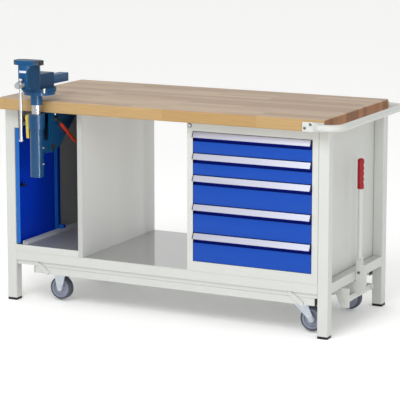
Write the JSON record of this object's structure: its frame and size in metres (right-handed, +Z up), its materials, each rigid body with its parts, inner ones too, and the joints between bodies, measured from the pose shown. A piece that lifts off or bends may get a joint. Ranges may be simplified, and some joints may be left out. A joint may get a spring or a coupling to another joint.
{
  "type": "mobile workbench with vice lift, pocket-door bay, drawer cabinet and caster lift",
  "caption": "Mobile workbench with a beech top, grey steel frame, blue drawers, pocket door, lifting vice, push handle and a lever-operated caster lift",
  "frame": {"origin": "on the floor under the middle of the overall footprint", "axes": "X along the bench to the push handle end, Y from the drawer front to the back, Z up"},
  "size_m": [1.58, 0.911, 1.0683],
  "materials": {
    "beech": "oiled beech staves",
    "frame_grey": "light grey powder coat",
    "dark_grey": "dark grey powder coat",
    "door_blue": "blue powder coat",
    "drawer_blue": "blue powder coat",
    "tray_grey": "light grey powder coat",
    "aluminium_grip": "anodised extrusion",
    "black_plastic": "moulded plastic",
    "red_plastic": "soft red grip",
    "zinc": "zinc plated",
    "chrome_trim": "nickel plated",
    "wheel_grey": "grey rubber tread on a grey hub",
    "vice_blue": "blue enamel",
    "bright_steel": "bright turned steel",
    "yellow_lever": "moulded plastic",
    "red_lever": "moulded plastic"
  },
  "bodies": {
    "base": {"worktop": "beech", "legs": "frame_grey", "foot_caps": "black_plastic", "long_rails": "frame_grey", "side_rails": "frame_grey", "bottom_shelf": "frame_grey", "vice_cabinet_floor": "frame_grey", "left_panel": "frame_grey", "vice_cabinet_back": "dark_grey", "divider_panel": "frame_grey", "door_rails": "zinc", "cabinet_shell": "frame_grey", "cabinet_back": "frame_grey", "cabinet_frame": "frame_grey", "cabinet_lock": "chrome_trim", "drawer_runners": "zinc", "push_handle": "frame_grey", "hanger_strips": "frame_grey", "lever_bracket": "frame_grey", "vice_bracket": "vice_blue"},
    "door": {"door_panel": "door_blue", "door_lock": "chrome_trim"},
    "drawer_1": {"drawer_1_tray": "tray_grey", "drawer_1_front": "drawer_blue", "drawer_1_grip": "aluminium_grip"},
    "drawer_2": {"drawer_2_tray": "tray_grey", "drawer_2_front": "drawer_blue", "drawer_2_grip": "aluminium_grip"},
    "drawer_3": {"drawer_3_tray": "tray_grey", "drawer_3_front": "drawer_blue", "drawer_3_grip": "aluminium_grip"},
    "drawer_4": {"drawer_4_tray": "tray_grey", "drawer_4_front": "drawer_blue", "drawer_4_grip": "aluminium_grip"},
    "drawer_5": {"drawer_5_tray": "tray_grey", "drawer_5_front": "drawer_blue", "drawer_5_grip": "aluminium_grip"},
    "lever": {"lever_arm": "frame_grey", "lever_grip": "red_plastic"},
    "left_arms": {"left_swing_arms": "frame_grey"},
    "right_arms": {"right_swing_arms": "frame_grey"},
    "caster_frame": {"caster_beams": "frame_grey", "beam_caps": "black_plastic", "caster_cross_bars": "frame_grey", "caster_mounts": "zinc"},
    "front_fork": {"front_swivel_fork": "zinc"},
    "rear_fork": {"rear_swivel_fork": "zinc"},
    "wheel_front_left": {"front_left_wheel": "wheel_grey"},
    "wheel_rear_left": {"rear_left_wheel": "wheel_grey"},
    "wheel_front_right": {"front_right_wheel": "wheel_grey"},
    "wheel_rear_right": {"rear_right_wheel": "wheel_grey"},
    "vice_arm": {"vice_sleeve": "vice_blue"},
    "column": {"vice_column": "bright_steel"},
    "vice": {"swivel_base": "vice_blue", "vice_body": "vice_blue"},
    "jaw": {"vice_jaw": "vice_blue"},
    "screw": {"spindle": "bright_steel"},
    "tommy": {"tommy_bar": "bright_steel"},
    "clamp": {"clamp_lever": "yellow_lever"},
    "lock": {"lock_lever": "red_lever"}
  },
  "joints": [
    {"name": "drawer_1_slide", "type": "slide", "parent": "base", "child": "drawer_1", "axis": [0, -1, 0], "range_m": [0, 0.5]},
    {"name": "drawer_2_slide", "type": "slide", "parent": "base", "child": "drawer_2", "axis": [0, -1, 0], "range_m": [0, 0.5]},
    {"name": "drawer_3_slide", "type": "slide", "parent": "base", "child": "drawer_3", "axis": [0, -1, 0], "range_m": [0, 0.5]},
    {"name": "drawer_4_slide", "type": "slide", "parent": "base", "child": "drawer_4", "axis": [0, -1, 0], "range_m": [0, 0.5]},
    {"name": "drawer_5_slide", "type": "slide", "parent": "base", "child": "drawer_5", "axis": [0, -1, 0], "range_m": [0, 0.5]},
    {"name": "door_slide", "type": "slide", "parent": "base", "child": "door", "axis": [0, -1, 0], "range_m": [0, 0.3]},
    {"name": "lever_hinge", "type": "hinge", "parent": "base", "child": "lever", "pos_m": [0.6635, 0.0775, 0.155], "axis": [0, 1, 0], "range_deg": [0, 49]},
    {"name": "left_arm_hinge", "type": "hinge", "parent": "base", "child": "left_arms", "pos_m": [-0.641, 0.0775, 0.17], "axis": [0, 1, 0], "range_deg": [0, 49]},
    {"name": "right_arm_hinge", "type": "hinge", "parent": "base", "child": "right_arms", "pos_m": [0.546, 0.0775, 0.17], "axis": [0, 1, 0], "range_deg": [0, 49]},
    {"name": "frame_hinge", "type": "hinge", "parent": "left_arms", "child": "caster_frame", "pos_m": [-0.59246, 0.0775, 0.13473], "axis": [0, 1, 0], "range_deg": [-49, 0]},
    {"name": "front_swivel", "type": "hinge", "parent": "caster_frame", "child": "front_fork", "pos_m": [0.565, -0.1275, 0.115], "axis": [0, 0, 1], "continuous": true},
    {"name": "front_left_spin", "type": "hinge", "parent": "caster_frame", "child": "wheel_front_left", "pos_m": [-0.57, -0.1275, 0.056], "axis": [0, 1, 0], "continuous": true},
    {"name": "front_right_spin", "type": "hinge", "parent": "front_fork", "child": "wheel_front_right", "pos_m": [0.61, -0.1275, 0.056], "axis": [0, 1, 0], "continuous": true},
    {"name": "rear_swivel", "type": "hinge", "parent": "caster_frame", "child": "rear_fork", "pos_m": [0.565, 0.2725, 0.115], "axis": [0, 0, 1], "continuous": true},
    {"name": "rear_left_spin", "type": "hinge", "parent": "caster_frame", "child": "wheel_rear_left", "pos_m": [-0.57, 0.2725, 0.056], "axis": [0, 1, 0], "continuous": true},
    {"name": "rear_right_spin", "type": "hinge", "parent": "rear_fork", "child": "wheel_rear_right", "pos_m": [0.61, 0.2725, 0.056], "axis": [0, 1, 0], "continuous": true},
    {"name": "vice_fold", "type": "hinge", "parent": "base", "child": "vice_arm", "pos_m": [-0.576, -0.2375, 0.69], "axis": [1, 0, 0], "range_deg": [0, 90]},
    {"name": "column_lift", "type": "slide", "parent": "vice_arm", "child": "column", "axis": [0, 0, 1], "range_m": [-0.02, 0.12]},
    {"name": "vice_swivel", "type": "hinge", "parent": "column", "child": "vice", "pos_m": [-0.576, -0.2815, 0.9303], "axis": [0, 0, 1], "range_deg": [-25, 60]},
    {"name": "jaw_slide", "type": "slide", "parent": "vice", "child": "jaw", "axis": [0, -1, 0], "range_m": [0, 0.12]},
    {"name": "spindle_turn", "type": "hinge", "parent": "jaw", "child": "screw", "pos_m": [-0.576, -0.4125, 0.9713], "axis": [0, -1, 0], "range_deg": [0, 7200]},
    {"name": "tommy_slide", "type": "slide", "parent": "screw", "child": "tommy", "axis": [0, 0, 1], "range_m": [0, 0.2]},
    {"name": "clamp_turn", "type": "hinge", "parent": "vice_arm", "child": "clamp", "pos_m": [-0.611, -0.3055, 0.819], "axis": [-1, 0, 0], "range_deg": [0, 60]},
    {"name": "lock_turn", "type": "hinge", "parent": "base", "child": "lock", "pos_m": [-0.5416, -0.2135, 0.806], "axis": [-1, 0, 0], "range_deg": [0, 50]}
  ],
  "couplings": [
    {"joint": "left_arm_hinge", "follows": "lever_hinge", "ratio": 1},
    {"joint": "right_arm_hinge", "follows": "lever_hinge", "ratio": 1},
    {"joint": "frame_hinge", "follows": "lever_hinge", "ratio": -1},
    {"joint": "spindle_turn", "follows": "jaw_slide", "rad_per_m": 1047.2}
  ]
}
